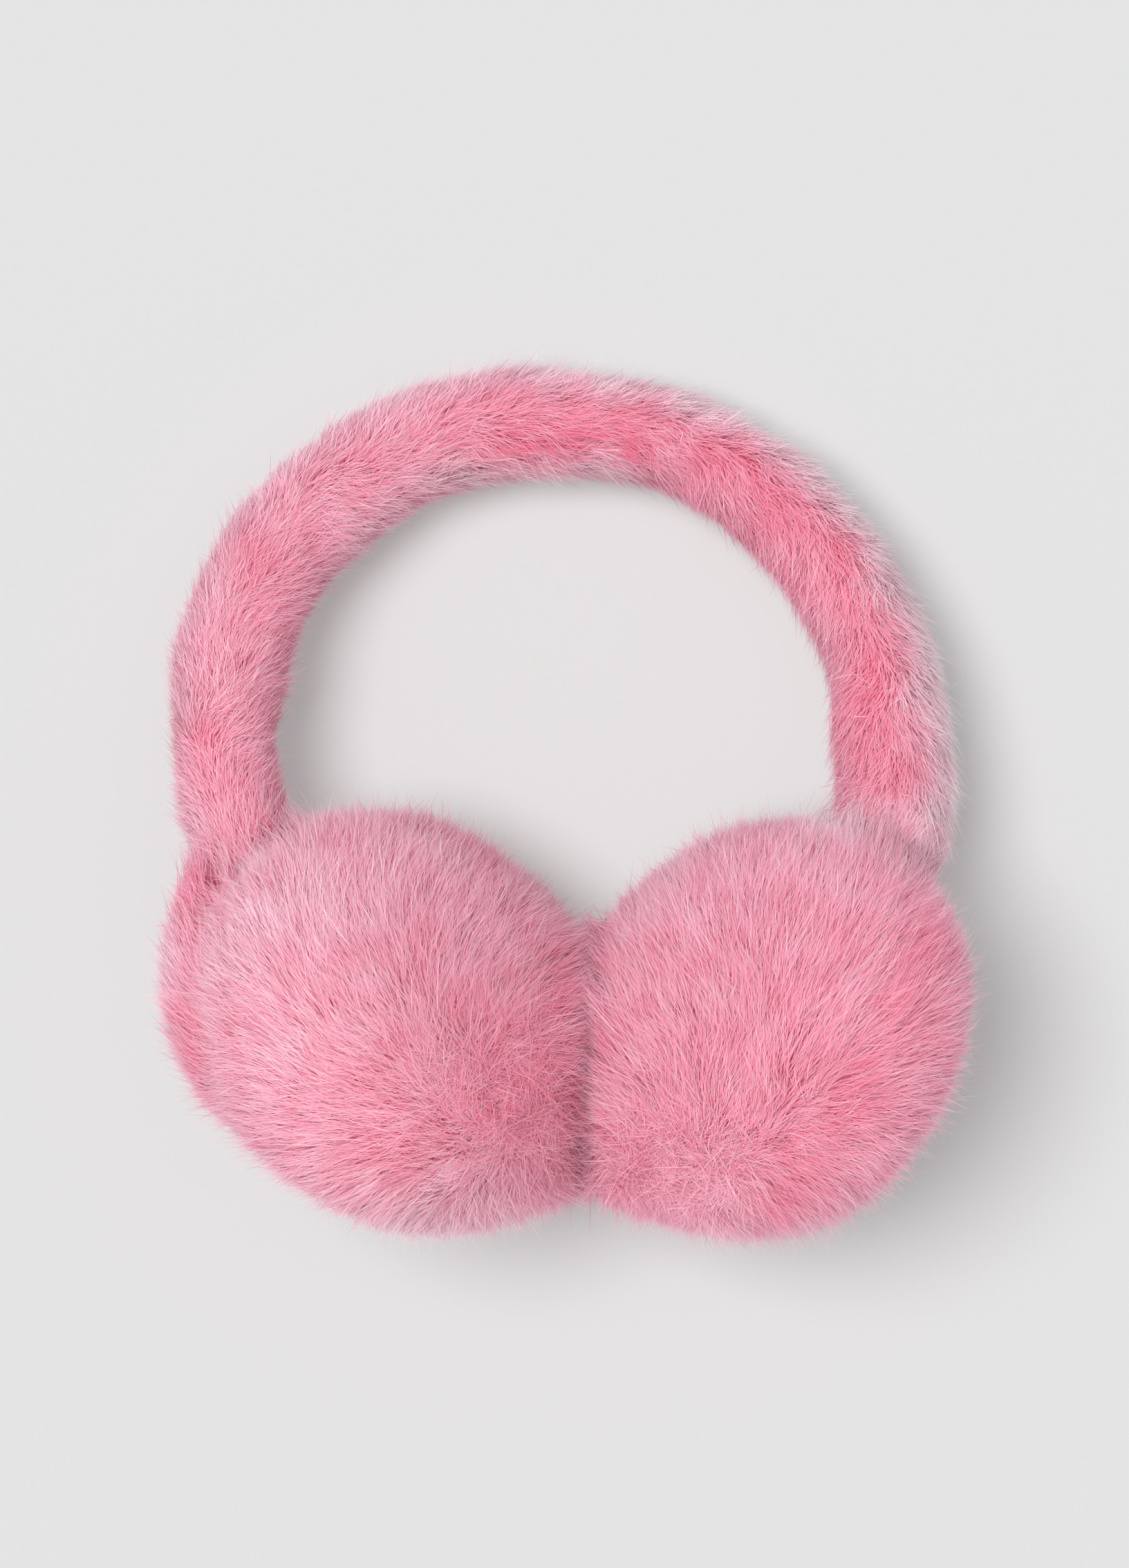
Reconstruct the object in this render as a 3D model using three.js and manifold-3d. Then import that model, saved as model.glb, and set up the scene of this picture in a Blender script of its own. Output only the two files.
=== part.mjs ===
// Fur earmuffs: a plush-covered headband that ends in two deep-fur ear pads, lying on a table.
// Units are millimetres. X runs across the pads, Y from the pads to the top of the arch, Z is up.
// Every solid is the outer form of its fur. The table is the plane z = 0.

import * as THREE from "three";
import { mergeVertices } from "three/addons/utils/BufferGeometryUtils.js";
import Module from "manifold-3d";

const wasm = await Module();
wasm.setup();

// ---- Driving dimensions ----

// Air left between pieces that touch on the real thing.
const GAP = 0.5;

// The headband is a flat arch. Its centre line is a circle seen from above, and the arch is
// tipped about X so that its top lies on the table and its ends reach the middle of the pads.
const ARCH = { x: -1.2, y: 12.6, radius: 83.6 };
const ARCH_TOP_HEIGHT = 13.0;
const ARCH_TIP = THREE.MathUtils.degToRad(11.5);

// Sections of the headband from its left end over the top to its right end. x and y place the
// middle of a section. across is the half width in the plane of the arch, tall is the half
// width square to it. Rows with a bearing lie on the arch's circle instead, where 90 is the top,
// and swell is how far the section stands outside that circle.
const HEADBAND_SECTIONS = [
  { x: -61.0, y: -33.0, across: 7.0, tall: 7.0 },
  { x: -70.5, y: -22.5, across: 10.5, tall: 10.5 },
  { x: -78.2, y: -8.5, across: 13.0, tall: 12.8 },
  { bearing: 179, swell: -1.8, across: 13.4, tall: 13.6 },
  { bearing: 160, swell: 0.4, across: 14.8, tall: 14.2 },
  { bearing: 137, swell: 1.6, across: 15.2, tall: 14.2 },
  { bearing: 114, swell: 0.6, across: 14.8, tall: 14.0 },
  { bearing: 90, swell: -0.6, across: 14.0, tall: 13.8 },
  { bearing: 66, swell: 0.2, across: 13.4, tall: 13.8 },
  { bearing: 43, swell: 0.6, across: 13.8, tall: 14.2 },
  { bearing: 21, swell: 0.0, across: 13.8, tall: 14.2 },
  { bearing: 1, swell: -0.6, across: 14.6, tall: 13.8 },
  { x: 81.5, y: -8.5, across: 14.0, tall: 12.8 },
  { x: 77.5, y: -22.5, across: 10.5, tall: 10.5 },
  { x: 71.0, y: -33.0, across: 7.0, tall: 7.0 },
];
const HEADBAND_STEPS = 54;
const HEADBAND_SIDES = 16;

// The two pads press together at this x.
const MEETING_X = 6.9;

// Each pad is two half shells of fur, sewn face to face: the cushion, which lies on the ear, and
// the outer cap. tilt is how far the ear side leans from straight up, and bearing the direction
// that it leans in, measured from the line towards the other pad.
const PAD = {
  fromMeeting: { left: 50.2, right: 48.8 },
  y: { left: -56.9, right: -57.9 },
  height: { left: 39, right: 41 },
  tilt: THREE.MathUtils.degToRad(42),
  bearing: THREE.MathUtils.degToRad(40),
  sides: 44,
  rings: 11,
};
const CUSHION = { radius: { left: 57.9, right: 56.2 }, depth: 43, fullness: 2.35, seamPull: 4.5 };
const OUTER_CAP = { radius: { left: 49.5, right: 49.5 }, depth: 29, fullness: 2.2, seamPull: 4.0 };

// How far each outer cap has slid in the plane of the seam, towards the headband and across it.
const CAP_SLIDE = {
  left: { along: 15.5, across: 1 },
  right: { along: -3, across: 4 },
};

// Soft dents in the ear side of each cushion, placed from above.
const CUSHION_DENTS = {
  left: [
    { x: -19, y: -63, reach: 17, depth: 1.6 },
    { x: -6, y: -84, reach: 9, depth: 1.2 },
  ],
  right: [
    { x: 85, y: -31, reach: 8, depth: 3.0 },
    { x: 77, y: -47, reach: 9, depth: 4.0 },
    { x: 68, y: -64, reach: 9, depth: 4.2 },
    { x: 58, y: -79, reach: 9, depth: 3.8 },
    { x: 47, y: -90, reach: 8, depth: 2.2 },
    { x: 28, y: -83, reach: 11, depth: 1.4 },
  ],
};

// The fur of the cushions is pushed down into the crease under the place where they press
// together. It reaches lower by depth at the crease and fades over reach beside it, from fromY
// down to fullY. It grows from nothing at the seam to all of it at this share of the cushion.
const CREASE_FILL = { depth: 13, reach: 6, fromY: -58, fullY: -86, fromSeam: 0.3 };

// Fur gives way smoothly over this depth where it meets the table or the other pad.
const PRESS_DEPTH = { table: 2, pad: 4 };
const PRESS_PAST_TABLE = 1;

// ---- Materials ----

const plush = new THREE.MeshStandardMaterial({ color: 0xdd7f95, roughness: 0.95, metalness: 0 });
const earFur = new THREE.MeshStandardMaterial({ color: 0xe898ac, roughness: 0.95, metalness: 0 });
const capFur = new THREE.MeshStandardMaterial({ color: 0xe28fa4, roughness: 0.95, metalness: 0 });

// ---- Solids ----

function toSolid(geometry) {
  const bare = geometry.clone();
  bare.deleteAttribute("normal");
  bare.deleteAttribute("uv");
  const merged = mergeVertices(bare, 1e-3);
  return new wasm.Manifold(
    new wasm.Mesh({
      numProp: 3,
      vertProperties: merged.attributes.position.array,
      triVerts: new Uint32Array(merged.index.array),
    }),
  );
}

function toGeometry(solid) {
  const { vertProperties, triVerts } = solid.getMesh();
  const geometry = new THREE.BufferGeometry();
  geometry.setAttribute("position", new THREE.BufferAttribute(vertProperties, 3));
  geometry.setIndex(new THREE.BufferAttribute(triVerts, 1));
  geometry.computeVertexNormals();
  return geometry;
}

// Moves every vertex of a geometry by a function of its position.
function reshape(geometry, move) {
  const positions = geometry.attributes.position;
  const point = new THREE.Vector3();
  for (let i = 0; i < positions.count; i += 1) {
    move(point.fromBufferAttribute(positions, i));
    positions.setXYZ(i, point.x, point.y, point.z);
  }
  return geometry;
}

// Lets value grow freely until it is within depth of limit, then only creep up to limit.
function yieldTo(value, limit, depth) {
  const start = limit - depth;
  return value < start ? value : limit - depth * Math.exp((start - value) / depth);
}

function pressOnTable(point) {
  point.z = -yieldTo(-point.z, PRESS_PAST_TABLE, PRESS_DEPTH.table);
}

function pressOnOtherPad(point, side) {
  const reached = side * (point.x - MEETING_X);
  point.x = MEETING_X + side * -yieldTo(-reached, -GAP / 2, PRESS_DEPTH.pad);
}

function fillCrease(point, height) {
  const nearness = Math.exp(-Math.abs(point.x - MEETING_X) / CREASE_FILL.reach);
  const below = THREE.MathUtils.smoothstep(-point.y, -CREASE_FILL.fromY, -CREASE_FILL.fullY);
  const clearOfSeam = THREE.MathUtils.smoothstep(height, 0, CREASE_FILL.fromSeam);
  point.y -= CREASE_FILL.depth * nearness * below * clearOfSeam;
}

const TABLE_SIZE = 400;
const table = toSolid(
  new THREE.BoxGeometry(TABLE_SIZE, TABLE_SIZE, TABLE_SIZE).translate(0, 0, -TABLE_SIZE / 2),
);

// ---- Headband ----

const ARCH_NORMAL = new THREE.Vector3(0, Math.sin(ARCH_TIP), Math.cos(ARCH_TIP));

function archHeight(y) {
  const fromTop = ARCH.y + ARCH.radius - y;
  return ARCH_TOP_HEIGHT + fromTop * Math.tan(ARCH_TIP);
}

function sectionCentre({ x, y, bearing, swell }) {
  if (bearing === undefined) {
    return new THREE.Vector3(x, y, archHeight(y));
  }
  const angle = THREE.MathUtils.degToRad(bearing);
  const radius = ARCH.radius + swell;
  const onArchY = ARCH.y + radius * Math.sin(angle);
  return new THREE.Vector3(ARCH.x + radius * Math.cos(angle), onArchY, archHeight(onArchY));
}

// A loft of oval sections along the headband, grown by extra on every side.
function headbandGeometry(extra) {
  const route = new THREE.CatmullRomCurve3(HEADBAND_SECTIONS.map(sectionCentre), false, "centripetal");
  const sizes = new THREE.CatmullRomCurve3(
    HEADBAND_SECTIONS.map(({ across, tall }) => new THREE.Vector3(across, tall, 0)),
    false,
    "centripetal",
  );
  const vertices = [];
  const triangles = [];
  for (let step = 0; step <= HEADBAND_STEPS; step += 1) {
    const share = step / HEADBAND_STEPS;
    const middle = route.getPoint(share);
    const forward = route.getTangent(share);
    const across = new THREE.Vector3().crossVectors(ARCH_NORMAL, forward).normalize();
    const up = new THREE.Vector3().crossVectors(forward, across).normalize();
    const size = sizes.getPoint(share);
    if (step === 0 || step === HEADBAND_STEPS) {
      middle.addScaledVector(forward, step === 0 ? -extra : extra);
    }
    for (let side = 0; side < HEADBAND_SIDES; side += 1) {
      const turn = (side / HEADBAND_SIDES) * Math.PI * 2;
      const vertex = middle
        .clone()
        .addScaledVector(across, Math.cos(turn) * (size.x + extra))
        .addScaledVector(up, Math.sin(turn) * (size.y + extra));
      vertices.push(vertex.x, vertex.y, vertex.z);
    }
  }
  for (let step = 0; step < HEADBAND_STEPS; step += 1) {
    for (let side = 0; side < HEADBAND_SIDES; side += 1) {
      const next = (side + 1) % HEADBAND_SIDES;
      const a = step * HEADBAND_SIDES + side;
      const b = step * HEADBAND_SIDES + next;
      triangles.push(a, b, b + HEADBAND_SIDES);
      triangles.push(a, b + HEADBAND_SIDES, a + HEADBAND_SIDES);
    }
  }
  const last = HEADBAND_STEPS * HEADBAND_SIDES;
  for (let side = 1; side < HEADBAND_SIDES - 1; side += 1) {
    triangles.push(0, side + 1, side);
    triangles.push(last, last + side, last + side + 1);
  }
  const geometry = new THREE.BufferGeometry();
  geometry.setAttribute("position", new THREE.Float32BufferAttribute(vertices, 3));
  geometry.setIndex(triangles);
  return reshape(geometry, pressOnTable);
}

// ---- Ear pads ----

// The middle of the seam, the direction of the ear side, and the two directions in the seam's
// plane: along points to where the headband enters, across lies square to it. side is -1 for
// the left pad and 1 for the right one.
function padFrame(side) {
  const hand = side < 0 ? "left" : "right";
  const centre = new THREE.Vector3(
    MEETING_X + side * PAD.fromMeeting[hand],
    PAD.y[hand],
    PAD.height[hand],
  );
  const lean = Math.sin(PAD.tilt);
  const earward = new THREE.Vector3(
    -side * lean * Math.cos(PAD.bearing),
    lean * Math.sin(PAD.bearing),
    Math.cos(PAD.tilt),
  );
  const entry = sectionCentre(HEADBAND_SECTIONS.at(side < 0 ? 2 : -3));
  const along = entry.sub(centre).projectOnPlane(earward).normalize();
  const across = new THREE.Vector3().crossVectors(earward, along);
  return { side, hand, centre, earward, along, across };
}

// Half of a pad as a lathed profile about Y. The seam face is at y = 0, and the fur bulges by
// depth towards +Y, or towards -Y when outward is -1.
function halfPadGeometry({ depth, fullness, seamPull }, radius, outward) {
  const profile = [new THREE.Vector2(0, outward * (GAP / 2))];
  for (let ring = 0; ring <= PAD.rings; ring += 1) {
    const turn = (ring / PAD.rings) * (Math.PI / 2);
    const reach = Math.pow(Math.cos(turn), 2 / fullness);
    const rise = Math.pow(Math.sin(turn), 2 / fullness);
    const pulledIn = seamPull * Math.exp((-rise * depth) / seamPull);
    const height = GAP / 2 + rise * (depth - GAP / 2);
    const atAxis = ring === PAD.rings;
    profile.push(new THREE.Vector2(atAxis ? 0 : reach * radius - pulledIn, outward * height));
  }
  return new THREE.LatheGeometry(outward > 0 ? profile : profile.reverse(), PAD.sides);
}

function halfPad(shape, outward, frame, slide, dents) {
  const middle = frame.centre
    .clone()
    .addScaledVector(frame.along, slide.along)
    .addScaledVector(frame.across, slide.across);
  const basis = new THREE.Matrix4().makeBasis(frame.across, frame.earward, frame.along);
  const upright = halfPadGeometry(shape, shape.radius[frame.hand], outward);
  const geometry = upright.applyMatrix4(basis.setPosition(middle));
  reshape(geometry, (point) => {
    const height = point.clone().sub(middle).dot(frame.earward) / shape.depth;
    for (const { x, y, reach, depth } of dents) {
      const nearness = Math.exp(-((point.x - x) ** 2 + (point.y - y) ** 2) / (reach * reach));
      point.addScaledVector(frame.earward, -depth * nearness * Math.max(0, height));
    }
    pressOnTable(point);
    pressOnOtherPad(point, frame.side);
    if (outward > 0) {
      fillCrease(point, height);
    }
  });
  return toSolid(geometry).subtract(table).subtract(headbandPocket);
}

const NO_SLIDE = { along: 0, across: 0 };
const NO_DENTS = [];

const headband = toSolid(headbandGeometry(0)).subtract(table);
const headbandPocket = toSolid(headbandGeometry(GAP));

// ---- The earmuffs ----

const earmuffs = new THREE.Group();

function addPiece(name, solid, material) {
  const mesh = new THREE.Mesh(toGeometry(solid), material);
  mesh.name = name;
  earmuffs.add(mesh);
}

addPiece("headband", headband, plush);
for (const side of [-1, 1]) {
  const frame = padFrame(side);
  const cushion = halfPad(CUSHION, 1, frame, NO_SLIDE, CUSHION_DENTS[frame.hand]);
  const cap = halfPad(OUTER_CAP, -1, frame, CAP_SLIDE[frame.hand], NO_DENTS);
  addPiece(`${frame.hand}_ear_cushion`, cushion, earFur);
  addPiece(`${frame.hand}_outer_cap`, cap, capFur);
}

// The origin is the middle of the underside of the box around the whole object.
const bounds = new THREE.Box3().setFromObject(earmuffs);
const boxCentre = bounds.getCenter(new THREE.Vector3());
for (const mesh of earmuffs.children) {
  mesh.position.set(-boxCentre.x, -boxCentre.y, -bounds.min.z);
}

export default earmuffs;
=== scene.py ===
"""Looks of a pair of pink fur earmuffs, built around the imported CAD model.

Lengths are metres in the CAD model's frame: X across the pads, Y from the pads to the top of the
headband's arch, Z up from the table. Each CAD solid is the outer form of its fur. It is replaced by a
padded skin that lies deeper, and by thousands of fur strands that grow out of that skin to the CAD
form. A strand is a thin ribbon that narrows to a point. Tables of places are in millimetres.
"""

import math

import bpy
import numpy as np
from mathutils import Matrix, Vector
from mathutils.bvhtree import BVHTree
from mathutils.kdtree import KDTree


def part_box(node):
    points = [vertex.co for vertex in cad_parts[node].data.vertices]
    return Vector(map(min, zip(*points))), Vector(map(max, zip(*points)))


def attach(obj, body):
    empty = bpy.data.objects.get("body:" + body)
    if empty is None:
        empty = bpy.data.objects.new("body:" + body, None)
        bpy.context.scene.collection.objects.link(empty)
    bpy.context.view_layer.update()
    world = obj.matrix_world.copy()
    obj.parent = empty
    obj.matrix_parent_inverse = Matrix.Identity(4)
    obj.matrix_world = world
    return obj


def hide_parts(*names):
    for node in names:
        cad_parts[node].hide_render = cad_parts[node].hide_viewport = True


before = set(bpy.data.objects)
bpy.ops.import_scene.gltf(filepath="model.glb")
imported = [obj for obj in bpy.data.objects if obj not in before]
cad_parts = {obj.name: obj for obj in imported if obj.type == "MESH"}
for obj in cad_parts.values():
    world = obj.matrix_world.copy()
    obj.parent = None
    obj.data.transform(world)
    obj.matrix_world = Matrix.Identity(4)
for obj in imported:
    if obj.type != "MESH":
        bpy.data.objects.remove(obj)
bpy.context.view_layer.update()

MM = 0.001

BAND = "headband"
CUSHIONS = {"left": "left_ear_cushion", "right": "right_ear_cushion"}
CAPS = {"left": "left_outer_cap", "right": "right_outer_cap"}
SIDES = {"left": -1, "right": 1}

# The plane on which the two pads press together.
MEETING_X = (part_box(CUSHIONS["left"])[1].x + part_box(CUSHIONS["right"])[0].x) / 2

# ---- Vectors and noise ----


def unit(vectors):
    return vectors / np.maximum(np.linalg.norm(vectors, axis=-1, keepdims=True), 1e-12)


def dot(a, b):
    return np.sum(a * b, axis=-1, keepdims=True)


def in_plane(vectors, normals):
    """The vectors with what they have along the normals taken out, at unit length."""
    return unit(vectors - dot(vectors, normals) * normals)


def turned(vectors, normals, angles):
    """Vectors turned about the normals, anticlockwise as seen from outside, by angles in degrees."""
    radians = np.radians(angles)[:, None]
    return vectors * np.cos(radians) + np.cross(normals, vectors) * np.sin(radians)


def smoothstep(low, high, value):
    share = np.clip((value - low) / (high - low), 0, 1)
    return share * share * (3 - 2 * share)


def waves(points, size, seed):
    """Smooth noise between about -1 and 1 whose bumps are about size across."""
    draw = np.random.default_rng(seed)
    directions = unit(draw.normal(size=(7, 3)))
    rates = draw.uniform(0.6, 1.5, 7) * math.pi / size
    starts = draw.uniform(0, 2 * math.pi, 7)
    return np.sin(points @ (directions * rates[:, None]).T + starts).sum(axis=1) / 2.6


def patch(points, x, y, reach):
    """1 at a place seen from above, falling smoothly to 0 past its reach, all in millimetres."""
    away = (points[:, 0] / MM - x) ** 2 + (points[:, 1] / MM - y) ** 2
    return np.exp(-away / reach**2)


# ---- Meshes ----


def vertices_of(mesh):
    places = np.empty(len(mesh.vertices) * 3, np.float32)
    mesh.vertices.foreach_get("co", places)
    return places.reshape(-1, 3).astype(float)


def normals_of(mesh):
    values = np.empty(len(mesh.vertices) * 3, np.float32)
    mesh.vertices.foreach_get("normal", values)
    return values.reshape(-1, 3).astype(float)


def triangle_corners(mesh):
    """The vertex numbers of a mesh's triangles."""
    mesh.calc_loop_triangles()
    corners = np.empty(len(mesh.loop_triangles) * 3, np.int32)
    mesh.loop_triangles.foreach_get("vertices", corners)
    return corners.reshape(-1, 3)


def face_crosses(corners):
    """Square to each triangle, with the length of twice its area."""
    return np.cross(corners[:, 1] - corners[:, 0], corners[:, 2] - corners[:, 0])


def tree_of(mesh):
    places = vertices_of(mesh)
    return BVHTree.FromPolygons(places.tolist(), triangle_corners(mesh).tolist())


def new_object(name, mesh):
    made = bpy.data.objects.new(name, mesh)
    bpy.context.scene.collection.objects.link(made)
    return made


def remeshed(source, voxel, smoothing):
    """An object's mesh, remeshed evenly with cubes of one size and then smoothed."""
    remesh = source.modifiers.new("remesh", "REMESH")
    remesh.mode = "VOXEL"
    remesh.voxel_size = voxel
    smooth = source.modifiers.new("smooth", "SMOOTH")
    smooth.factor = 0.5
    smooth.iterations = smoothing
    depsgraph = bpy.context.evaluated_depsgraph_get()
    mesh = bpy.data.meshes.new_from_object(source.evaluated_get(depsgraph))
    source.modifiers.clear()
    return mesh


# ---- The CAD model's layout ----


def seam_of(node):
    """The middle of the flat seam face of half a pad: the largest flat stretch of the solid."""
    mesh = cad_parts[node].data
    corners = vertices_of(mesh)[triangle_corners(mesh)]
    cross = face_crosses(corners)
    area = np.linalg.norm(cross, axis=1) / 2
    _kinds, kind = np.unique(np.round(unit(cross), 2), axis=0, return_inverse=True)
    kind = kind.reshape(-1)
    flat = kind == np.argmax(np.bincount(kind, area))
    return np.average(corners[flat].mean(axis=1), axis=0, weights=area[flat])


def arch_of(node):
    """The middle and the plane's normal of the headband's arch."""
    places = vertices_of(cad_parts[node].data)
    low, high = (np.array(corner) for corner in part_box(node))
    radius = (high[0] - low[0]) / 2
    normal = np.linalg.svd(places - places.mean(axis=0), full_matrices=False)[2][2]
    normal = normal * np.sign(normal[2])
    downhill = unit(np.cross(normal, (1.0, 0.0, 0.0)))
    downhill = downhill * np.sign(downhill[1])
    top = np.array([(low[0] + high[0]) / 2, high[1], 0])
    on_plane = places[places[:, 1] > high[1] - radius * 0.3].mean(axis=0)
    centre = top - downhill * radius
    return centre + normal * np.dot(on_plane - centre, normal), normal


ARCH_CENTRE, ARCH_NORMAL = arch_of(BAND)


FORM_VOXEL = 2.0 * MM
FORM_SMOOTHING = 3


def outer_form_tree():
    """The outer form of the whole object, its seams closed, for measuring distances to it."""
    join = [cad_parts[node] for node in (BAND, *CUSHIONS.values(), *CAPS.values())]
    places = [vertices_of(node.data) for node in join]
    corners = [triangle_corners(node.data) for node in join]
    starts = np.cumsum([0] + [len(part) for part in places[:-1]])
    faces = np.concatenate([part + start for part, start in zip(corners, starts)])
    mesh = bpy.data.meshes.new("outer_form")
    mesh.from_pydata(np.concatenate(places).tolist(), [], faces.tolist())
    whole = new_object("outer_form", mesh)
    closed = remeshed(whole, FORM_VOXEL, FORM_SMOOTHING)
    tree = tree_of(closed)
    bpy.data.objects.remove(whole)
    bpy.data.meshes.remove(mesh)
    bpy.data.meshes.remove(closed)
    return tree


OUTER_FORM = outer_form_tree()


def heights_over_form(points):
    """How far each point is outside the outer form, negative inside, with the nearest place on it
    and the form's normal there."""
    found = [OUTER_FORM.find_nearest(Vector(point)) for point in points]
    places = np.array([hit[0] for hit in found])
    normals = np.array([hit[1] for hit in found])
    return dot(points - places, normals)[:, 0], places, normals


# ---- Skins ----

SKIN_VOXEL = 2.5 * MM
SKIN_SMOOTHING = 8

# How deep the skins lie: pads are scaled about the middle of their seam, the headband is inset.
PAD_SHRINK = 0.845
BAND_INSET = 5.4 * MM


def make_skin(node, name):
    """The padded skin under the fur of a CAD node."""
    source = new_object("source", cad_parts[node].data.copy())
    mesh = remeshed(source, SKIN_VOXEL, SKIN_SMOOTHING)
    bpy.data.objects.remove(source)
    mesh.materials.clear()
    places = vertices_of(mesh)
    if node == BAND:
        places = places - normals_of(mesh) * BAND_INSET
    else:
        middle = seam_of(node)
        places = middle + (places - middle) * PAD_SHRINK
    mesh.vertices.foreach_set("co", places.astype(np.float32).reshape(-1))
    mesh.polygons.foreach_set("use_smooth", np.ones(len(mesh.polygons), bool))
    mesh.update()
    return new_object(name, mesh)


# ---- Which way the fur lies ----

# Where the fur of the pads lies which way, seen from above: x, y, and the direction in degrees
# from +X towards +Y. The fur of the left pad and of the right pad each fan out from a whorl.
PAD_GUIDES = {
    "left": [
        (-74, -11, 115), (-53, -11, 95), (-33, -11, 85), (-84, -21, 135), (-64, -21, 105),
        (-43, -21, 98), (-23, -21, 78), (-94, -32, 110), (-74, -32, 130), (-53, -32, 112),
        (-33, -32, 100), (-13, -32, 45), (-84, -42, 130), (-64, -42, 135), (-43, -42, 125),
        (-23, -42, 80), (-2, -42, 45), (-94, -52, 130), (-74, -52, 135), (-53, -52, 140),
        (-33, -52, 125), (-13, -52, 78), (-84, -62, 155), (-64, -62, 142), (-43, -62, 158),
        (-23, -62, 105), (-2, -62, 38), (-74, -72, 165), (-53, -72, 167), (-33, -72, 185),
        (-3, -74, -40), (-64, -83, 180), (-43, -83, 176), (-25, -83, 170), (-2, -83, -90),
        (-53, -93, 182), (-33, -93, 178), (-13, -93, -110), (-43, -103, 220), (-23, -103, 255),
    ],
    "right": [
        (49, -11, 65), (69, -11, 65), (89, -11, 50), (38, -21, 82), (59, -21, 55),
        (79, -21, 55), (28, -32, 105), (49, -32, 65), (69, -32, 68), (89, -32, 32),
        (18, -42, 110), (38, -42, 93), (59, -42, 67), (79, -42, 45), (8, -52, 100),
        (28, -52, 96), (49, -52, 78), (69, -52, 52), (89, -52, 20), (18, -62, 120),
        (38, -62, 76), (59, -62, 50), (79, -62, 25), (8, -72, 140), (28, -72, 97),
        (49, -72, 65), (69, -72, 15), (89, -72, -15), (18, -81, 118), (38, -81, 58),
        (59, -83, -8), (79, -83, -16), (8, -93, 205), (27, -94, -100), (49, -93, -8),
        (69, -93, -34), (38, -103, -45), (59, -103, -42),
    ],
}  # fmt: skip
GUIDE_REACH = 9.0

# Where a pad's skin is steeper than this, its fur falls no faster than it does there.
LEAST_SLOPE = 0.3

# Where the fur of the pads is tousled: x, y and reach, seen from above.
TOUSLED = {
    "left": [(-15, -68, 13), (-3, -84, 8)],
    "right": [(24, -88, 10), (36, -86, 7)],
}
MOST_TOUSLED = 0.6

# How far round the section of the headband the fur parts, in degrees from straight up towards
# the outside of the arch, by bearing on the arch, where 0 is the right leg and 90 the top.
BAND_PARTING = [
    (-12, 12), (0, 6), (10, -5), (27, 16), (40, 27), (55, 26), (75, 6), (90, 6),
    (110, -11), (135, 26), (180, 15), (192, 10),
]  # fmt: skip

# How far the fur leans off the direction of the arch, by degrees round the section from the
# parting. The sign says to which side.
BAND_LEAN = [
    (-180, 0), (-140, -42), (-90, -46), (-40, -32), (0, 0), (40, 32), (90, 46), (140, 42), (180, 0),
]  # fmt: skip

# The share of that lean which is lost on the inner side where the sleeve is gathered.
GATHERED_SHARE = 0.92

# How well ordered the fur of the headband is, from 0 to 1.
BAND_ORDER = 0.9

# Where the fur of the pads begins on the ends of the headband: y by x, seen from above.
BAND_ENDS = {
    "left": [(-97, -24), (-66, -6)],
    "right": [(50, 4), (62, 2), (78, -5), (97, -13)],
}


def look_up(table, values):
    places, results = zip(*table)
    return np.interp(values, places, results)


def pad_flow(points, normals, hand, _roots=None):
    """Along the guides, and how well ordered the fur is, from 0 to 1."""
    guides = np.array(PAD_GUIDES[hand], float)
    offset = points[:, None, :2] / MM - guides[None, :, :2]
    weight = np.exp(-(offset**2).sum(axis=2) / GUIDE_REACH**2) + 1e-9 / (offset**2).sum(axis=2)
    heading = np.radians(guides[:, 2])
    plan = np.stack([weight @ np.cos(heading), weight @ np.sin(heading)], axis=1)
    order = np.linalg.norm(plan, axis=1) / weight.sum(axis=1)
    for x, y, reach in TOUSLED[hand]:
        order = order * (1 - MOST_TOUSLED * patch(points, x, y, reach))
    plan = unit(plan)
    slope = np.maximum(normals[:, 2], LEAST_SLOPE)
    fall = -(normals[:, 0] * plan[:, 0] + normals[:, 1] * plan[:, 1]) / slope
    flow = in_plane(np.column_stack([plan, fall]), normals)
    return turned(flow, normals, 7 * waves(points, 22 * MM, 3)), order


def band_tangent(points):
    """The direction along the arch, from the left pad over the top to the right pad."""
    return unit(np.cross(points - ARCH_CENTRE, ARCH_NORMAL))


def round_the_band(points, normals):
    """The bearing on the arch, and how far round the section towards the outside, in degrees."""
    offset = points - ARCH_CENTRE
    bearing = np.degrees(np.arctan2(offset[:, 1], offset[:, 0]))
    bearing = (bearing + 90) % 360 - 90
    outward = unit(offset - dot(offset, ARCH_NORMAL) * ARCH_NORMAL)
    sideways = dot(normals, outward)[:, 0]
    return bearing, np.degrees(np.arctan2(sideways, normals @ ARCH_NORMAL))


def band_position(points, normals):
    """The bearing on the arch, and how far round the section from the parting, in degrees."""
    bearing, around = round_the_band(points, normals)
    parting = look_up(BAND_PARTING, bearing) + 9 * waves(points, 14 * MM, 8)
    return bearing, (around - parting + 180) % 360 - 180


def by_a_pad(points, hand):
    """Which points on the headband have fur that lies along a pad's."""
    edge = look_up(BAND_ENDS[hand], points[:, 0] / MM) + 1.5 * waves(points, 6 * MM, 12)
    return (points[:, 0] * SIDES[hand] > 0) & (points[:, 1] / MM < edge)


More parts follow.
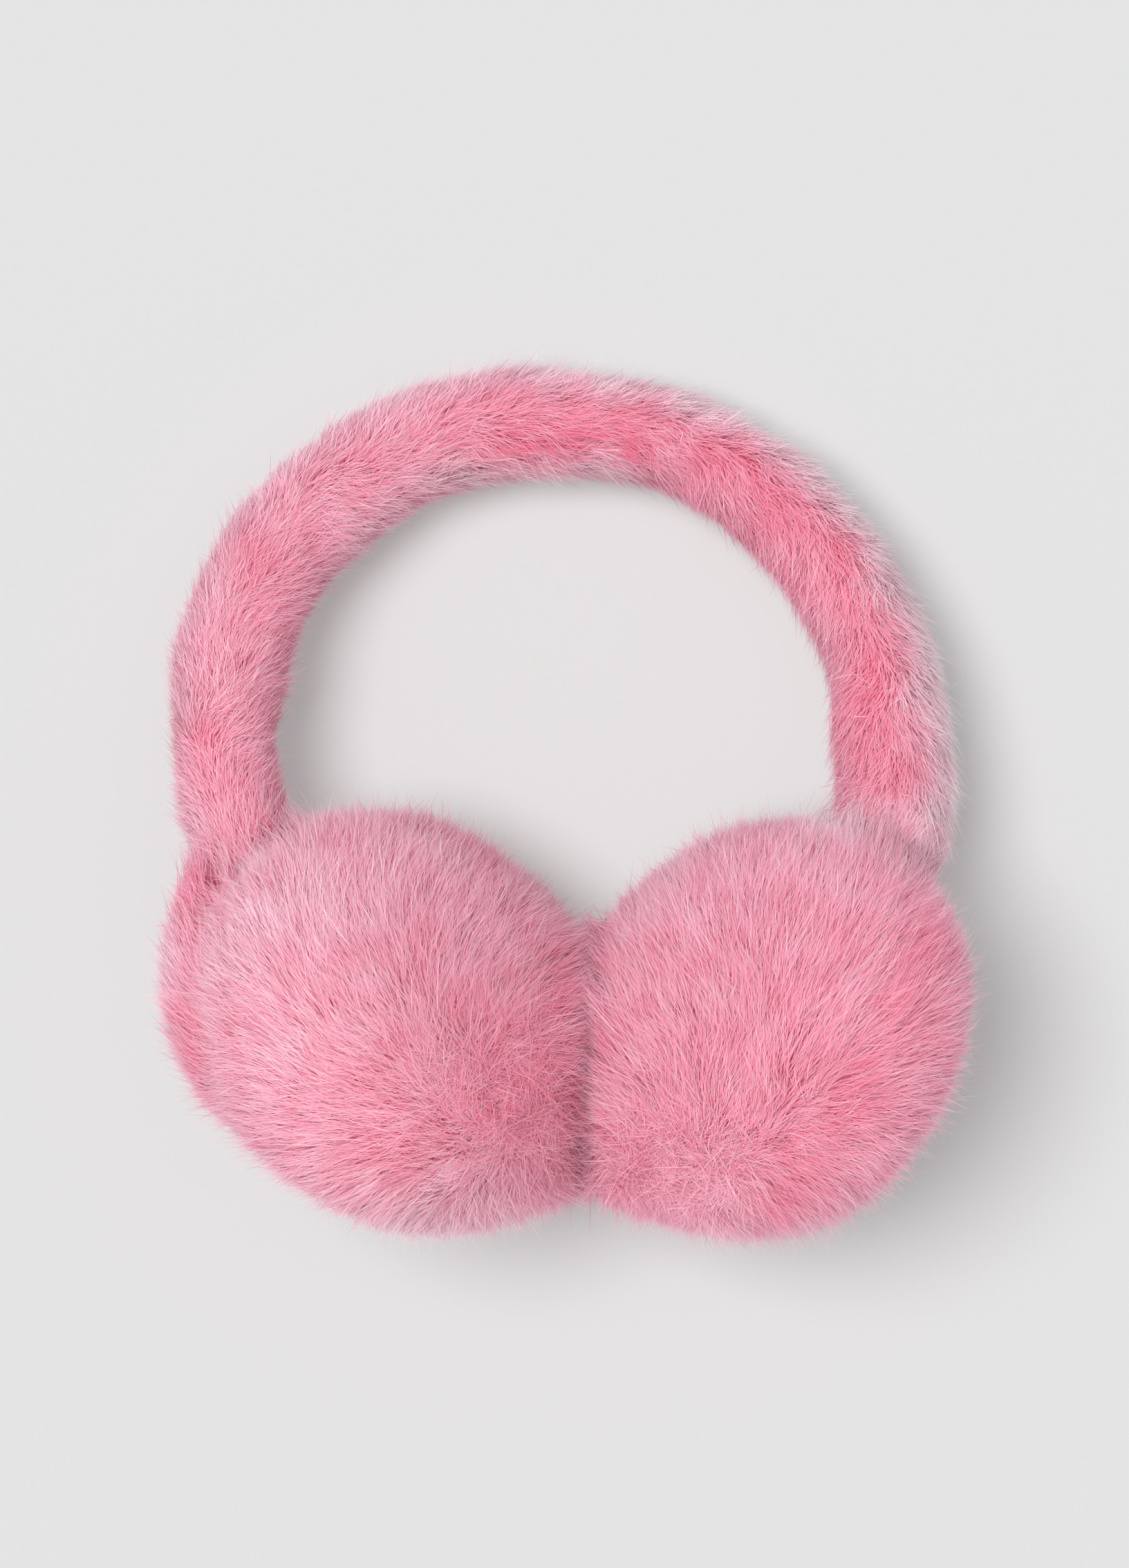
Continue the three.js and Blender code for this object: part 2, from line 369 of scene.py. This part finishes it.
def band_flow(points, normals, _hand, roots=None):
    """Along the arch and away from the parting, or along a pad's fur for a strand with its root
    near that pad, and how well ordered it is, from 0 to 1."""
    roots = points if roots is None else roots
    along = in_plane(band_tangent(points), normals)
    bearing, around = band_position(points, normals)
    gathered = smoothstep(58, 76, bearing) * smoothstep(130, 112, bearing) * smoothstep(-5, -30, around)
    lean = look_up(BAND_LEAN, around) + 12 * waves(points, 12 * MM, 9)
    flow = turned(along, normals, lean * (1 - GATHERED_SHARE * gathered))
    for hand in SIDES:
        near = by_a_pad(roots, hand)
        if near.any():
            flow[near] = pad_flow(points[near], normals[near], hand)[0]
    return flow, np.full(len(points), BAND_ORDER)


# ---- Grooves in the fur ----

# Lines along which the pile splits, seen from above: the crease between the left cushion and its
# cap, and the valley on the right cushion. Each has a depth, and fades over its reach on either side,
# first on the side towards +X.
GROOVES = {
    "left": {
        "line": [(-81.5, -12.0), (-86.0, -22.0), (-85.5, -36.0), (-84.0, -50.0), (-80.0, -64.0)],
        "depth": 5.0,
        "reach": (2.2, 3.2),
    },
    "right": {
        "line": [(86.0, -30.0), (77.0, -50.0), (66.0, -70.0), (56.0, -82.0), (46.0, -92.0)],
        "depth": 3.0,
        "reach": (4.2, 4.2),
    },
}


def grooves(points, hand):
    """1 on the line of a pad's groove, falling smoothly to 0 beside it and on the underside."""
    flat = points[:, :2] / MM
    line = np.array(GROOVES[hand]["line"])
    inner, outer = GROOVES[hand]["reach"]
    nearest = np.full(len(flat), 1e9)
    for a, b in zip(line[:-1], line[1:]):
        length = np.linalg.norm(b - a)
        along = (b - a) / length
        offset = flat - a
        beyond = offset - np.clip(offset @ along, 0, length)[:, None] * along
        reach = np.where(beyond[:, 0] > 0, inner, outer)
        nearest = np.minimum(nearest, np.linalg.norm(beyond, axis=1) / reach)
    above = smoothstep(12, 26, points[:, 2] / MM)
    return above * np.exp(-(nearest**2))


# Where the headband's sleeve is gathered at the top of the arch, two furrows run along its inner side:
# their places in degrees round the section, and the stretch of bearings they span.
FURROWS = {"around": (-30.0, -52.0), "wide": 5.0, "from": 70.0, "to": 116.0, "depth": 4.0}


def furrows(points, normals):
    """1 in the middle of a furrow of the headband, falling smoothly to 0 beside it."""
    bearing, around = round_the_band(points, normals)
    around = around + 4 * waves(points, 12 * MM, 13)
    along = smoothstep(FURROWS["from"], FURROWS["from"] + 8, bearing)
    along = along * smoothstep(FURROWS["to"], FURROWS["to"] - 8, bearing)
    nearest = np.min([np.abs(around - place) for place in FURROWS["around"]], axis=0)
    return along * np.exp(-((nearest / FURROWS["wide"]) ** 2))


# ---- How the fur is toned, from 0 for the deepest to 1 for the palest ----


# The tone of each pad, how much deeper its groove is, and where it differs: x, y, reach, and by how
# much. The deeper groove is painted shade in the groove. On the left pad the first two patches, paler,
# are painted light on the upper left, which faces the key light, and the fifth and sixth, deeper, are
# painted shade beside the crease where the pads press together.
PAD_TONES = {
    "left": {
        "base": 0.5,
        "groove_shade": 0.28,
        "patches": [
            (-98, -42, 13, 0.26), (-66, -42, 24, 0.12), (-28, -98, 18, 0.16),
            (-13, -66, 17, -0.17), (2, -52, 11, -0.14), (-2, -80, 12, -0.1),
        ],
    },
    "right": {
        "base": 0.45,
        "groove_shade": 0.16,
        "patches": [(24, -88, 10, -0.1), (66, -10, 10, 0.3)],
    },
}  # fmt: skip

# How much paler the tips are at every rim and at the frosted ones, and how much deeper the fur is
# painted where the pads press together, as painted shade in the crease, which fades over a reach.
RIM_TONE = 0.06
FROSTED_TONE = 0.2
CREASE_SHADE_TONE = 0.3
CREASE_SHADE_REACH = 9 * MM


def pressed(points, reach):
    """1 where the pads press together, falling smoothly to 0 past the reach beside it."""
    return np.exp(-(((points[:, 0] - MEETING_X) / reach) ** 2))


def rim_tone_and_crease_shade(points, normals):
    """How much paler the tips are at the rims, more so towards +X and at the bottom of the pads, and
    how much deeper where the pads press together, which is painted shade in the crease."""
    sideways = smoothstep(0.8, 0.0, normals[:, 2]) * smoothstep(-1.2, 0.0, normals[:, 2])
    right = smoothstep(-30, 90, points[:, 0] / MM)
    low = smoothstep(-60, -95, points[:, 1] / MM)
    paler = sideways * (RIM_TONE + FROSTED_TONE * np.maximum(right, low))
    # Painted shade in the crease where the pads press together.
    crease_shade = pressed(points, CREASE_SHADE_REACH)
    return paler * (1 - crease_shade) - CREASE_SHADE_TONE * crease_shade


def pad_tone(points, normals, hand):
    tones = PAD_TONES[hand]
    # The groove is painted deeper: painted shade in the groove.
    tone = tones["base"] - tones["groove_shade"] * grooves(points, hand)
    for x, y, reach, change in tones["patches"]:
        tone = tone + change * patch(points, x, y, reach)
    return tone + rim_tone_and_crease_shade(points, normals)


# How much the crest, the outer side and the inner side of the headband's fur differ in tone from
# the middle of the range, by bearing on the arch. Where the sleeve is gathered, the inner side is pale.
BAND_TONES = {
    "crest": [(0, -0.16), (60, -0.22), (90, -0.2), (115, -0.1), (140, -0.02), (180, -0.04)],
    "outer": [(0, 0.5), (40, 0.5), (65, 0.42), (90, 0.38), (120, 0.25), (150, 0.14), (180, 0.12)],
    "inner": [(0, -0.06), (70, -0.1), (84, 0.4), (108, 0.4), (125, 0.15), (180, -0.04)],
}
BAND_TONE = 0.5
# How much deeper the fur is in the headband's furrows: painted shade in the furrows.
FURROW_SHADE_TONE = 0.5

# The tone of the headband's right end, where its fur lies along the pad's.
RIGHT_END_TONE = 0.66


def band_tone(points, normals, _hand):
    bearing, around = round_the_band(points, normals)
    around = around + 5 * waves(points, 9 * MM, 14)
    crest = np.exp(-(((around + 8) / 32) ** 2))
    outer = smoothstep(4, 58, around) * smoothstep(170, 60, around)
    inner = smoothstep(20, 55, -around) * smoothstep(170, 60, -around)
    tone = BAND_TONE + crest * look_up(BAND_TONES["crest"], bearing)
    tone += outer * look_up(BAND_TONES["outer"], bearing)
    tone += inner * look_up(BAND_TONES["inner"], bearing)
    # Painted shade in the furrows.
    tone -= FURROW_SHADE_TONE * furrows(points, normals)
    return np.where(by_a_pad(points, "right"), RIGHT_END_TONE, tone)


# ---- Strands ----

# A strand's steps from root to tip, and the share of its length that each takes.
SEGMENTS = 2
SEGMENT_SHARES = (0.42, 0.58)
TRIANGLES_PER_STRAND = 2 * SEGMENTS - 1
MOST_TRIANGLES = 199000

# Strands stand densest on what faces up. This is the density on what faces down, against that, and how
# much denser they stand where the fur is in disorder.
LEAST_DENSITY = 0.42
TOUSLED_DENSITY = 3.0

# How far a strand bends with the skin under it: how round a pad is, and how deep the middle of the
# headband lies under its skin.
PAD_CURVATURE = 50 * MM
BAND_CORE = 10 * MM

# Strands differ from each other by chance (spread) and from place to place (waves), and guard hairs,
# a share of them all, from the rest. Lifts and twists are degrees, and disorder runs from 0 to 1.
GUARD_SHARE = 0.1
LENGTHS = {"spread": 0.12, "waves": 0.1, "guard": 1.2}
LIFTS = {"spread": 6, "waves": 4, "guard": 6, "disorder": -8}
TWISTS = {"spread": 17, "waves": 10, "guard": 12, "disorder": 90, "disorder_waves": 130}
STRAY_TONES = {"spread": 0.12, "lock": 0.04, "waves": 0.04, "guard": 0.1}
WIDTHS = (0.75, 1.25)
ROLL_SPREAD = 0.5
FRIZZ = 0.35 * MM
LOCK_PULLS = (0.4, 1.4)

# Tufts of the pads that stand further out of the form: x, y, reach, and by how much.
TUFTS = {
    "left": [(-60, -2, 7, 1.5), (-82, -15, 8, 2.5)],
    "right": [(58, -6, 7, 2.5), (72, -10, 8, 2.5), (84, -16, 7, 2.0)],
}

# How much further out strands stand on the outer rim of the headband, and where the pads press
# together, over a reach, and how much longer they are for each millimetre further out.
BAND_FRINGE = 1.8 * MM
CREASE_FRINGE = 3.0 * MM
CREASE_FRINGE_REACH = 12 * MM
LONGER_PER_MM = 0.15

# The height over the outer form up to which a tip stands freely (mean and spread), and the share of
# its height above that which a guard hair and another strand keep.
FREE_HEIGHT = (-1.5, 1.0)
GUARD_SPRING = (0.4, 0.85)
SPRING = (0.2, 0.55)
TABLE_CLEARANCE = 0.35 * MM

# How far strands of one pad may reach past the meeting plane, in millimetres.
MEETING_SLACK = (-0.8, 3.0)

# The width of a strand in the palette, the palette's margin, and the share of the skin's normal in a
# strand's shading.
UV_STRIP = 0.7 / 1024
UV_MARGIN = 0.01
SKIN_SHADING = 0.72


class Pile:
    """How the fur of one piece grows. Lengths are metres and lifts are degrees off the skin."""

    def __init__(self, node, hand, strands, seed, flow, tone, sizes):
        self.node = node
        self.hand = hand
        self.strands = strands
        self.draw = np.random.default_rng(seed)
        self.seed = seed
        self.flow = flow
        self.tone = tone
        self.sizes = sizes


def scatter_roots(pile, mesh):
    """Points spread over a skin with their normals, where fur can be seen, denser on what faces up,
    and the area that they cover."""
    corner_ids = triangle_corners(mesh)
    corners = vertices_of(mesh)[corner_ids]
    cross = face_crosses(corners)
    area = np.linalg.norm(cross, axis=1) / 2
    upward = cross[:, 2] / np.maximum(2 * area, 1e-15)
    shallow = -heights_over_form(corners.mean(axis=1))[0] < pile.sizes["deepest"]
    weight = area * shallow * (LEAST_DENSITY + (1 - LEAST_DENSITY) * smoothstep(-0.6, 0.2, upward))
    disorder = 1 - pile.flow(corners.mean(axis=1), unit(cross), pile.hand)[1]
    weight = weight * (1 + TOUSLED_DENSITY * disorder)
    count = pile.strands
    chosen = pile.draw.choice(len(area), count, p=weight / weight.sum())
    first, second = pile.draw.random((2, count))
    swap = first + second > 1
    first = np.where(swap, 1 - first, first)
    second = np.where(swap, 1 - second, second)
    shares = np.stack([1 - first - second, first, second], axis=1)[:, :, None]
    points = (corners[chosen] * shares).sum(axis=1)
    normals = unit((normals_of(mesh)[corner_ids[chosen]] * shares).sum(axis=1))
    return points, normals, float(area[shallow].sum())


def normals_under(pile, points, roots, normals):
    """The skin's normal under points that are up to a strand's length from their roots."""
    if pile.node != BAND:
        return unit(normals + (points - roots) / PAD_CURVATURE)
    along = band_tangent(roots)
    offset = points - roots + normals * BAND_CORE
    return unit(offset - dot(offset, along) * along)


def comb(pile, roots, normals, lengths, lifts, twist):
    """The points of each strand from root to tip, lying along the flow and lifted off the skin."""
    points = roots
    path = [points]
    for step, share in enumerate(SEGMENT_SHARES):
        under = normals_under(pile, points, roots, normals)
        flow = turned(pile.flow(points, under, pile.hand, roots)[0], under, twist)
        lift = np.radians(lifts[:, step])[:, None]
        direction = flow * np.cos(lift) + under * np.sin(lift)
        points = points + direction * (lengths * share)[:, None]
        path.append(points)
    return np.stack(path, axis=1)


def gather(pile, path, covered, disorder):
    """Leans strands near each other together towards their tips, in locks of two sizes, less so
    where the fur is in disorder. Returns the strands and a random number for each that strands of
    one lock share."""
    roots = path[:, 0]
    shares = np.linspace(0, 1, SEGMENTS + 1)[None, :, None]
    for spacing, pull in pile.sizes["locks"]:
        count = max(8, int(covered / spacing**2))
        leaders = pile.draw.choice(len(roots), count, replace=False)
        tree = KDTree(count)
        for order, leader in enumerate(leaders):
            tree.insert(Vector(roots[leader]), order)
        tree.balance()
        lock = np.array([tree.find(Vector(root))[1] for root in roots])
        strength = pile.draw.uniform(*LOCK_PULLS, count)[lock] * pull * (1 - 0.8 * disorder)
        strength = strength[:, None, None]
        path = path + (path[leaders[lock]] - path) * np.clip(shares * strength, 0, 0.85)
    return path, pile.draw.normal(0, 1, count)[lock]


def further_out(pile, roots, normals):
    """How much further out the strands stand in a pad's tufts, where the pads press together, and on
    the headband's outer rim."""
    if pile.node == BAND:
        _bearing, around = band_position(roots, normals)
        return BAND_FRINGE * smoothstep(35, 70, around) * smoothstep(150, 120, around)
    further = CREASE_FRINGE * pressed(roots, CREASE_FRINGE_REACH)
    for x, y, reach, rise in TUFTS[pile.hand]:
        further += rise * MM * patch(roots, x, y, reach)
    return further


def hold_to_form(pile, path, guard, further):
    """Bends strands back towards the outer form of the fur, off the table and off the other pad."""
    count = len(path)
    free = pile.draw.normal(*FREE_HEIGHT, count) * MM + further
    spring = np.where(guard, pile.draw.uniform(*GUARD_SPRING, count), pile.draw.uniform(*SPRING, count))
    for step in range(1, SEGMENTS + 1):
        points = path[:, step]
        height, places, normals = heights_over_form(points)
        start = free * step / SEGMENTS
        if pile.hand:
            start = start - GROOVES[pile.hand]["depth"] * MM * grooves(points, pile.hand)
        else:
            start = start - FURROWS["depth"] * MM * furrows(points, normals)
        held = start + (height - start) * spring
        outside = (height > start)[:, None]
        path[:, step] = np.where(outside, places + normals * held[:, None], points)
    path[:, :, 2] = np.maximum(path[:, :, 2], TABLE_CLEARANCE)
    if pile.hand:
        side = SIDES[pile.hand]
        limit = MEETING_X - side * pile.draw.uniform(*MEETING_SLACK, count)[:, None] * MM
        path[:, :, 0] = side * np.maximum(side * path[:, :, 0], side * limit)
    return path


def ribbons(path, widths, rolls, normals):
    """Vertices of flat strands that narrow to a point, two to a step and one at the tip, and the
    normals that shade them, which are partly the skin's, as the pile shades softly as a whole."""
    heading = unit(np.diff(path, axis=1))
    across = unit(np.cross(heading, normals[:, None, :]))
    up = np.cross(across, heading)
    roll = rolls[:, None, None]
    across = across * np.cos(roll) + up * np.sin(roll)
    half = widths[:, None, None] / 2
    body = path[:, :-1]
    sides = np.stack([body - across * half, body + across * half], axis=2)
    sides = sides.reshape(len(path), SEGMENTS * 2, 3)
    flat = np.cross(across, heading)
    shading = unit(flat * (1 - SKIN_SHADING) + normals[:, None, :] * SKIN_SHADING)
    shading = np.concatenate([np.repeat(shading, 2, axis=1), shading[:, -1:]], axis=1)
    return np.concatenate([sides, path[:, -1:]], axis=1), shading


def strand_faces():
    """The triangles of one ribbon, as vertex numbers within the strand."""
    faces = []
    for step in range(SEGMENTS - 1):
        low = step * 2
        faces += [(low, low + 1, low + 3), (low, low + 3, low + 2)]
    faces.append((SEGMENTS * 2 - 2, SEGMENTS * 2 - 1, SEGMENTS * 2))
    return np.array(faces)


def strand_uv(tones):
    """Places in the palette: across it lies the strand's tone, and up it the way from root to tip."""
    inside = 1 - 2 * UV_MARGIN
    up = np.append(np.repeat(np.cumsum((0,) + SEGMENT_SHARES[:-1]), 2), 1.0) * inside + UV_MARGIN
    side = np.append(np.tile([-1.0, 1.0], SEGMENTS), 0.0) * UV_STRIP
    uv = np.empty((len(tones), SEGMENTS * 2 + 1, 2))
    uv[:, :, 0] = tones[:, None] * inside + UV_MARGIN + side
    uv[:, :, 1] = up
    return uv


def mesh_of_strands(name, vertices, shading, tones):
    """One mesh from the vertices of many strands."""
    faces = strand_faces()
    per_strand = SEGMENTS * 2 + 1
    starts = np.arange(len(vertices))[:, None, None] * per_strand
    corners = (faces[None] + starts).reshape(-1)
    mesh = bpy.data.meshes.new(name)
    mesh.vertices.add(len(vertices) * per_strand)
    mesh.vertices.foreach_set("co", vertices.astype(np.float32).reshape(-1))
    mesh.loops.add(len(corners))
    mesh.loops.foreach_set("vertex_index", corners.astype(np.int32))
    mesh.polygons.add(len(corners) // 3)
    mesh.polygons.foreach_set("loop_start", np.arange(0, len(corners), 3, dtype=np.int32))
    mesh.polygons.foreach_set("use_smooth", np.ones(len(corners) // 3, bool))
    layer = mesh.uv_layers.new(name="OFBake")
    uv = strand_uv(tones)[:, faces.reshape(-1)]
    layer.data.foreach_set("uv", uv.astype(np.float32).reshape(-1))
    mesh.update(calc_edges=True)
    mesh.validate()
    mesh.normals_split_custom_set_from_vertices(shading.reshape(-1, 3).tolist())
    return mesh


def grow(pile, mesh):
    """All the strands of a pile on its skin: their vertices, shading normals and tones."""
    draw, seed, count, sizes = pile.draw, pile.seed, pile.strands, pile.sizes
    roots, normals, covered = scatter_roots(pile, mesh)
    disorder = 1 - pile.flow(roots, normals, pile.hand)[1]
    guard = draw.random(count) < GUARD_SHARE
    lengths = sizes["length"] * draw.normal(1, LENGTHS["spread"], count).clip(0.6, 1.3)
    lengths = lengths * (1 + LENGTHS["waves"] * waves(roots, 18 * MM, seed + 1))
    lengths = lengths * np.where(guard, LENGTHS["guard"], 1)
    further = further_out(pile, roots, normals)
    lengths = lengths * (1 + LONGER_PER_MM * further / MM)
    lifts = np.array(sizes["lifts"])[None, :] + draw.normal(0, LIFTS["spread"], (count, 1))
    lifts = lifts + LIFTS["waves"] * waves(roots, 9 * MM, seed + 2)[:, None]
    lifts = lifts + (LIFTS["guard"] * guard + LIFTS["disorder"] * disorder)[:, None]
    twist = TWISTS["waves"] * waves(roots, 6 * MM, seed + 3)
    twist = twist + draw.normal(0, 1, count) * (TWISTS["spread"] + TWISTS["disorder"] * disorder)
    twist = twist + TWISTS["disorder_waves"] * disorder * waves(roots, 7 * MM, seed + 5)
    twist = twist + np.where(guard, draw.normal(0, TWISTS["guard"], count), 0)
    path = comb(pile, roots, normals, lengths, lifts.clip(0, 80), twist)
    path, lock_tone = gather(pile, path, covered, disorder)
    frizz = draw.normal(0, FRIZZ, path.shape)
    path = path + frizz * np.linspace(0, 1, SEGMENTS + 1)[None, :, None]
    path = hold_to_form(pile, path, guard, further)
    widths = sizes["width"] * draw.uniform(*WIDTHS, count)
    vertices, shading = ribbons(path, widths, draw.normal(0, ROLL_SPREAD, count), normals)
    tones = pile.tone(roots, normals, pile.hand) + STRAY_TONES["lock"] * lock_tone
    tones = tones + STRAY_TONES["waves"] * waves(roots, 13 * MM, seed + 4)
    tones = tones + STRAY_TONES["waves"] * waves(roots, 5 * MM, seed + 6)
    tones = tones + draw.normal(0, STRAY_TONES["spread"], count) + STRAY_TONES["guard"] * guard
    return vertices, shading, tones.clip(0, 1)


# ---- Materials ----


def srgb(red, green, blue):
    """A colour given in 0 to 255 as the linear values that shaders use."""
    values = np.array([red, green, blue]) / 255
    linear = np.where(values <= 0.04045, values / 12.92, ((values + 0.055) / 1.055) ** 2.4)
    return (*linear.tolist(), 1.0)


# Each row is a tone of the pile: its place in the palette, and its colour at the root and the tip.
FUR_TONES = [
    {"at": 0.0, "root": srgb(235, 108, 141), "tip": srgb(241, 149, 177)},
    {"at": 0.35, "root": srgb(236, 128, 159), "tip": srgb(243, 186, 206)},
    {"at": 0.65, "root": srgb(237, 154, 180), "tip": srgb(246, 214, 226)},
    {"at": 1.0, "root": srgb(241, 210, 220), "tip": srgb(252, 245, 248)},
]


def tone_ramp(tree, end):
    ramp = tree.nodes.new("ShaderNodeValToRGB")
    stops = ramp.color_ramp.elements
    while len(stops) < len(FUR_TONES):
        stops.new(0.5)
    for stop, tone in zip(stops, FUR_TONES):
        stop.position = tone["at"]
        stop.color = tone[end]
    return ramp


def fur_material(name, roughness, sheen, see_through):
    """Fur: a palette of tones, deeper at the roots and pale at the tips, that lets light through."""
    material = bpy.data.materials.new(name)
    material.use_nodes = True
    tree = material.node_tree
    tree.nodes.clear()
    link = tree.links.new
    palette = tree.nodes.new("ShaderNodeUVMap")
    palette.uv_map = "OFBake"
    split = tree.nodes.new("ShaderNodeSeparateXYZ")
    link(palette.outputs["UV"], split.inputs["Vector"])
    root, tip = tone_ramp(tree, "root"), tone_ramp(tree, "tip")
    link(split.outputs["X"], root.inputs["Fac"])
    link(split.outputs["X"], tip.inputs["Fac"])
    rise = tree.nodes.new("ShaderNodeMapRange")
    rise.interpolation_type = "SMOOTHSTEP"
    rise.inputs["From Min"].default_value = 0.08
    rise.inputs["From Max"].default_value = 0.95
    link(split.outputs["Y"], rise.inputs["Value"])
    colour = tree.nodes.new("ShaderNodeMix")
    colour.data_type = "RGBA"
    link(rise.outputs["Result"], colour.inputs["Factor"])
    link(root.outputs["Color"], colour.inputs["A"])
    link(tip.outputs["Color"], colour.inputs["B"])
    surface = tree.nodes.new("ShaderNodeBsdfPrincipled")
    surface.inputs["Roughness"].default_value = roughness
    surface.inputs["Specular IOR Level"].default_value = 0.25
    surface.inputs["Sheen Weight"].default_value = sheen
    surface.inputs["Sheen Roughness"].default_value = 0.5
    link(colour.outputs["Result"], surface.inputs["Base Color"])
    through = tree.nodes.new("ShaderNodeBsdfTranslucent")
    link(colour.outputs["Result"], through.inputs["Color"])
    both = tree.nodes.new("ShaderNodeMixShader")
    both.inputs["Fac"].default_value = see_through
    link(surface.outputs["BSDF"], both.inputs[1])
    link(through.outputs["BSDF"], both.inputs[2])
    output = tree.nodes.new("ShaderNodeOutputMaterial")
    link(both.outputs["Shader"], output.inputs["Surface"])
    return material


def skin_material(name):
    """The knitted backing that the pile grows from: rose, mottled, with a fine knit."""
    material = bpy.data.materials.new(name)
    material.use_nodes = True
    tree = material.node_tree
    link = tree.links.new
    surface = tree.nodes["Principled BSDF"]
    surface.inputs["Roughness"].default_value = 0.9
    surface.inputs["Sheen Weight"].default_value = 0.25
    place = tree.nodes.new("ShaderNodeTexCoord")
    mottle = tree.nodes.new("ShaderNodeTexNoise")
    mottle.inputs["Scale"].default_value = 160
    mottle.inputs["Detail"].default_value = 4
    link(place.outputs["Object"], mottle.inputs["Vector"])
    ramp = tree.nodes.new("ShaderNodeValToRGB")
    ramp.color_ramp.elements[0].position = 0.35
    ramp.color_ramp.elements[0].color = srgb(234, 110, 142)
    ramp.color_ramp.elements[1].position = 0.7
    ramp.color_ramp.elements[1].color = srgb(237, 136, 163)
    link(mottle.outputs["Fac"], ramp.inputs["Fac"])
    link(ramp.outputs["Color"], surface.inputs["Base Color"])
    knit = tree.nodes.new("ShaderNodeTexVoronoi")
    knit.inputs["Scale"].default_value = 900
    link(place.outputs["Object"], knit.inputs["Vector"])
    bump = tree.nodes.new("ShaderNodeBump")
    bump.inputs["Strength"].default_value = 0.4
    bump.inputs["Distance"].default_value = 0.3 * MM
    link(knit.outputs["Distance"], bump.inputs["Height"])
    link(bump.outputs["Normal"], surface.inputs["Normal"])
    return material


# ---- The pieces ----

PAD_SIZES = {
    "length": 15.0 * MM,
    "width": 0.17 * MM,
    "lifts": (58, 36),
    "locks": ((7 * MM, 0.08), (1.8 * MM, 0.17)),
    "deepest": 13.5 * MM,
}
BAND_SIZES = {
    "length": 11.0 * MM,
    "width": 0.17 * MM,
    "lifts": (54, 35),
    "locks": ((6 * MM, 0.09), (1.8 * MM, 0.15)),
    "deepest": 7.8 * MM,
}
piles = [Pile(BAND, None, 86000, 100, band_flow, band_tone, BAND_SIZES)]
for order, hand in enumerate(SIDES):
    seed = 200 + 50 * order
    piles.append(Pile(CUSHIONS[hand], hand, 76000, seed, pad_flow, pad_tone, PAD_SIZES))
    piles.append(Pile(CAPS[hand], hand, 36000, seed + 20, pad_flow, pad_tone, PAD_SIZES))

fur_finish = fur_material("fur_strands", roughness=0.6, sheen=0.1, see_through=0.5)
skin_finish = skin_material("fur_backing")
earmuffs = bpy.data.collections.new("earmuffs")

for pile in piles:
    node = pile.node
    skin = make_skin(node, f"{node}_skin")
    skin.data.materials.append(skin_finish)
    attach(skin, "root")
    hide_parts(node)
    earmuffs.objects.link(skin)
    vertices, shading, tones = grow(pile, skin.data)
    batches = math.ceil(len(vertices) * TRIANGLES_PER_STRAND / MOST_TRIANGLES)
    for batch in range(batches):
        name = f"{node}_fur_{batch + 1}"
        share = slice(batch, None, batches)
        strands = mesh_of_strands(name, vertices[share], shading[share], tones[share])
        fur = new_object(name, strands)
        fur.data.materials.append(fur_finish)
        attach(fur, "root")
        earmuffs.objects.link(fur)

# ---- Studio ----

TABLE_HALF = 3.0
table_mesh = bpy.data.meshes.new("table")
table_corners = [(x, y, 0) for x, y in ((-1, -1), (1, -1), (1, 1), (-1, 1))]
table_mesh.from_pydata([Vector(corner) * TABLE_HALF for corner in table_corners], [], [(0, 1, 2, 3)])
table = new_object("table", table_mesh)
table_finish = bpy.data.materials.new("pale_table")
table_finish.use_nodes = True
table_surface = table_finish.node_tree.nodes["Principled BSDF"]
table_surface.inputs["Base Color"].default_value = (0.42, 0.42, 0.42, 1)
table_surface.inputs["Roughness"].default_value = 0.9
table_surface.inputs["Specular IOR Level"].default_value = 0.1
table_surface.inputs["Emission Color"].default_value = (1, 1, 1, 1)
table_surface.inputs["Emission Strength"].default_value = 0.277
table_mesh.materials.append(table_finish)

world = bpy.data.worlds.new("studio")
bpy.context.scene.world = world
world.use_nodes = True
backdrop = world.node_tree.nodes["Background"]
backdrop.inputs["Color"].default_value = (1, 1, 1, 1)
backdrop.inputs["Strength"].default_value = 0.3

# One key light for everything, and wide soft ones that fall on the earmuffs alone, so that only the
# key light's shadow shows on the table.
LIGHTS = {
    "key": {"from": (-0.36, 0.1, 1.0), "energy": 3.0, "angle": 32, "on_table": True},
    "dome": {"from": (0.0, 0.0, 1.0), "energy": 1.0, "angle": 150, "on_table": False},
    "front_fill": {"from": (0.1, -1.0, 0.6), "energy": 1.4, "angle": 90, "on_table": False},
    "back_fill": {"from": (0.15, 1.0, 0.6), "energy": 1.3, "angle": 90, "on_table": False},
}
for name, light in LIGHTS.items():
    sun = bpy.data.lights.new(name, "SUN")
    sun.energy = light["energy"]
    sun.angle = math.radians(light["angle"])
    placed = new_object(name, sun)
    placed.rotation_euler = Vector(light["from"]).to_track_quat("Z", "Y").to_euler()
    if not light["on_table"]:
        placed.light_linking.receiver_collection = earmuffs

# The camera looks straight down on the earmuffs.
VIEW_CENTRE = Vector((0.0005, 0.0041, 0.040))
VIEW_DISTANCE = 1.5
VIEW_LENGTH = 0.3856
camera_data = bpy.data.cameras.new("camera")
camera_data.sensor_fit = "VERTICAL"
camera_data.sensor_height = 24
camera_data.lens = camera_data.sensor_height * VIEW_DISTANCE / VIEW_LENGTH
camera = new_object("camera", camera_data)
camera.location = VIEW_CENTRE + Vector((0, 0, VIEW_DISTANCE))
bpy.context.scene.camera = camera
bpy.context.scene.view_settings.view_transform = "Standard"
